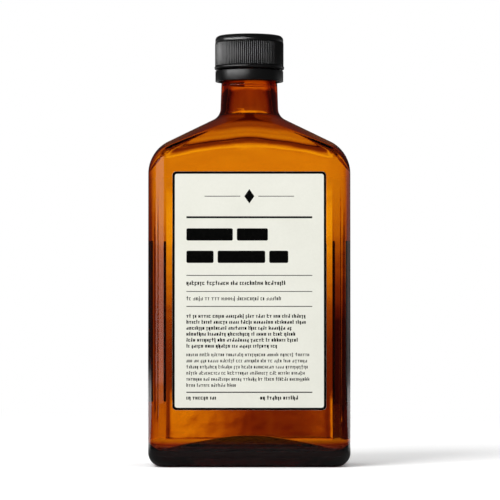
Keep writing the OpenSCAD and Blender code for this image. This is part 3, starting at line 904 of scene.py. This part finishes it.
studio = {
    "floorSize": 12, "floorColour": 0.86, "floorSeen": 1.5, "floorFade": (0.25, 0.7), "floorReach": (0.1, 0.22),
    # how much of its tone the near floor keeps in a reflection on a skin: a painted shade
    "nearFloorPaintedShade": 0.25, "fill": 0.6,
    # what shows through glass, as (tilt in degrees, level): straight behind, and to the two sides, where toLeft is
    # what the body bends into its left edge and toRight what it bends into its right one
    "behind": [(-26, 0.1), (-18.5, 0.12), (-16, 0.5), (-14, 0.55), (-12, 0.5), (-9.5, 0.95), (-8, 1.05), (-7, 0.9),
               (-5.7, 1.1), (-4.4, 1.0), (-3.6, 0.6), (-2.9, 0.3), (-1.8, 0.26), (-0.8, 0.3), (-0.1, 0.55), (0.5, 1.0),
               (1.0, 1.25), (1.4, 1.5), (2.0, 1.5), (2.35, 1.08), (2.85, 1.1), (3.15, 0.5), (5.5, 0.4), (10, 0.42),
               (16, 0.15), (26, 0.1)],
    "toLeft": [(-26, 0.3), (-12, 0.8), (-3, 0.95), (-1.6, 0.75), (-0.4, 0.5), (0.8, 0.6), (2.0, 1.15), (2.85, 1.15),
               (3.15, 0.5), (10, 0.4), (16, 0.1)],
    "toRight": [(-26, 0.3), (-12, 0.5), (-7, 0.1), (-3, 0.03), (-0.4, 0.04), (0.8, 0.45), (1.6, 0.9), (2.85, 1.15),
                (3.15, 0.5), (10, 0.4), (16, 0.1)],
    "sideEdge": (2.1, 2.9), "sideFade": (8, 30), "sideFar": 0.25, "topEdge": (3.0, 3.6), "topFade": (0, 22),
    "dark": 0.03, "warmth": 0.75, "warmFrom": 1.25,
    # the foot of the middle, as (degrees to the side, level), and a shade low down over most of it
    "foot": [(-2.4, 0.9), (-1.8, 1.1), (-1.2, 1.25), (-0.8, 0.95), (-0.4, 0.6), (-0.1, 0.35), (0.1, 0.27), (0.8, 0.25),
             (1.5, 0.4), (2.2, 0.48)],
    "footTop": (-1.8, -1.6), "footEnd": (-3.2, -2.9),
    "footShade": 0.85, "footShadeTilt": (-2.7, -2.1), "footShadeSide": (-1.7, -0.9),
    # what shines on a skin: a card low at the back, by its half width, top edge and foot in degrees, and softboxes
    # as (turn, half width, share), at the left front and, weaker, at the right back
    "backWidth": (50, 60), "backHeight": (-1.8, -0.9), "backFoot": (6, 9),
    "softboxes": [(-126, 24, 1.0), (54, 24, 0.18)], "softEdge": 4,
    # their strength by tilt: it ends low enough that neither shines on the neck
    "softboxStrength": [(-1.9, 0), (-1.2, 1.4), (4.0, 1.4), (4.6, 0)],
    # small softboxes with grids, close to the cap, so that they shine on it and hardly on the glass
    "gridTurns": [-105, -120, -135, -150, -165], "gridSize": (0.032, 0.012), "gridReach": 0.1, "gridZ": 0.194,
    "gridSpread": 36, "gridRadiance": 0.48,
    "keyPower": 16, "keyPlace": (-0.8, -1.0, 1.1), "keyAim": (0, 0, 0.09), "keySize": (0.8, 0.8),
}


def rayKinds(start):
    # 1 where the ray comes from the camera, straight from glass, and straight from a shiny skin
    camera, through, shiny = (start.add("ShaderNodeLightPath", None, None, name)
                              for name in ("Is Camera Ray", "Is Transmission Ray", "Is Glossy Ray"))
    return camera, through, shiny * (1 - through)


def floorMaterial():
    # White for the camera with the object's shadow on it near the object, and no floor at all in the distance
    #  for what shows in glass and in its skin, so that the studio's panels show there. Near the object, a skin's
    #  reflection of the floor keeps only a quarter of its tone: a painted shade in the reflection
    material, start, place = newMaterial("studioFloor")
    camera, through, shiny = rayKinds(start)
    # painted shade: the near floor is darker where a skin reflects it than where the camera sees it
    tone = (camera * (studio["floorSeen"] - 1) + 1) * studio["floorColour"] * (1 - shiny * (1 - studio["nearFloorPaintedShade"]))
    colour = start.add("ShaderNodeCombineXYZ", None, {"X": tone, "Y": tone, "Z": tone})
    near = start.add("ShaderNodeBsdfDiffuse", None, {"Color": colour})
    far = start.add("ShaderNodeEmission")  # white, with a strength of 1
    distance = place.add("ShaderNodeVectorMath", {"operation": "LENGTH"}, {0: place}, "Value")
    shader = start.add("ShaderNodeMixShader", None, {0: camera * distance.ramp(*studio["floorFade"]), 1: near, 2: far})
    gone = start.add("ShaderNodeBsdfTransparent")
    shader = start.add("ShaderNodeMixShader", None, {0: (through + shiny) * distance.ramp(*studio["floorReach"]),
                                                     1: shader, 2: gone})
    outputNode(start, {"Surface": shader})
    return material


floorEnd = studio["floorSize"] / 2
floorMesh = bpy.data.meshes.new("studio_floor")
floorMesh.from_pydata([(sx * floorEnd, sy * floorEnd, 0) for sx, sy in ((-1, -1), (1, -1), (1, 1), (-1, 1))],
                      [], [(0, 1, 2, 3)])
floor = putInScene("studio_floor", floorMesh, floorMaterial())


def buildWorld():
    world = bpy.data.worlds.new("studio")
    world.use_nodes = True
    world.node_tree.nodes.clear()
    start = Socket(world.node_tree)
    x, y, z = start.add("ShaderNodeTexCoord", None, None, "Generated").parts()
    camera, through, shiny = rayKinds(start)
    degrees = 180 / math.pi
    turn, tilt = start.maths("ARCTAN2", x, y) * degrees, start.maths("ARCSINE", z) * degrees

    # the fields stand behind the bottle for a view from each of the four sides
    side = start.maths("FLOORED_MODULO", turn + 45, 90) - 45
    behind, toLeft, toRight = (tilt.graded(studio[name]) for name in ("behind", "toLeft", "toRight"))
    foot = tilt.ramp(*studio["footEnd"]) * (1 - tilt.ramp(*studio["footTop"]))
    shade = side.ramp(*studio["footShadeSide"]) * (1 - tilt.ramp(*studio["footShadeTilt"]))
    behind = behind * (1 - foot) + side.graded(studio["foot"]) * (1 - shade * studio["footShade"]) * foot
    left, right = side.ramp(*studio["sideEdge"]), (-1 * side).ramp(*studio["sideEdge"])
    inGlass = behind * (1 - left) * (1 - right) + toLeft * left + toRight * right
    inGlass = inGlass * (1 - abs(side).ramp(*studio["sideFade"]) * (1 - studio["sideFar"]))
    inGlass = inGlass * (1 - abs(side).ramp(*studio["topFade"]) * tilt.ramp(*studio["topEdge"]))
    inGlass = inGlass.atLeast(studio["dark"])

    onSkin = (1 - abs(turn).ramp(*studio["backWidth"])) * (1 - tilt.ramp(*studio["backHeight"]))
    onSkin = onSkin * (1 - (-1 * tilt).ramp(*studio["backFoot"]))
    strength, soft = tilt.graded(studio["softboxStrength"]), studio["softEdge"]
    for where, reach, share in studio["softboxes"]:
        inside = 1 - abs(turn - where).ramp(reach - soft, reach + soft)
        onSkin = onSkin.atLeast(inside * strength * share)

    # the darker a part of the field in glass, the warmer it is
    warm = start.maths("POWER", inGlass / studio["warmFrom"], studio["warmth"])
    other = camera + shiny * onSkin.atLeast(studio["dark"])
    other = other + (1 - camera) * (1 - through) * (1 - shiny) * studio["fill"]
    red, rest = other + through * inGlass, other + through * inGlass * warm
    colour = start.add("ShaderNodeCombineXYZ", None, {"X": red, "Y": rest, "Z": rest})
    shader = start.add("ShaderNodeBackground", None, {"Color": colour})
    output = world.node_tree.nodes.new("ShaderNodeOutputWorld")
    world.node_tree.links.new(shader.socket, output.inputs["Surface"])
    bpy.context.scene.world = world


buildWorld()


def softbox(name, size, power, place, aim):
    lamp = bpy.data.lights.new(name, "AREA")
    lamp.shape, lamp.energy = "RECTANGLE", power
    lamp.size, lamp.size_y = size
    stand = bpy.data.objects.new(name, lamp)
    stand.location = place
    stand.rotation_euler = (Vector(aim) - stand.location).to_track_quat("-Z", "Y").to_euler()
    bpy.context.scene.collection.objects.link(stand)
    return stand


key = softbox("key_softbox", studio["keySize"], studio["keyPower"], studio["keyPlace"], studio["keyAim"])
key.visible_glossy = False
gridPower = 4 * studio["gridSize"][0] * studio["gridSize"][1] * studio["gridRadiance"]
for turn in np.radians(studio["gridTurns"]):
    reach, z = studio["gridReach"], studio["gridZ"]
    place = (math.sin(turn) * reach, math.cos(turn) * reach, z)
    light = softbox("cap_softbox", studio["gridSize"], gridPower, place, (0, 0, z))
    light.data.spread = math.radians(studio["gridSpread"])
    light.visible_camera = light.visible_diffuse = light.visible_transmission = False

view = {"distance": 1.32, "height": 0.0695, "aim": (0.0003, 0, 0.0966), "width": 0.225, "sensor": 36}
cameraData = bpy.data.cameras.new("photo_camera")
camera = bpy.data.objects.new("photo_camera", cameraData)
bpy.context.scene.collection.objects.link(camera)
camera.location = (view["aim"][0], -view["distance"], view["height"])
sight = Vector(view["aim"]) - camera.location
camera.rotation_euler = sight.to_track_quat("-Z", "Y").to_euler()
cameraData.sensor_width = view["sensor"]
cameraData.lens = view["sensor"] * sight.length / view["width"]
bpy.context.scene.camera = camera
bpy.context.scene.view_settings.view_transform = "Standard"
print("studio and camera ready")
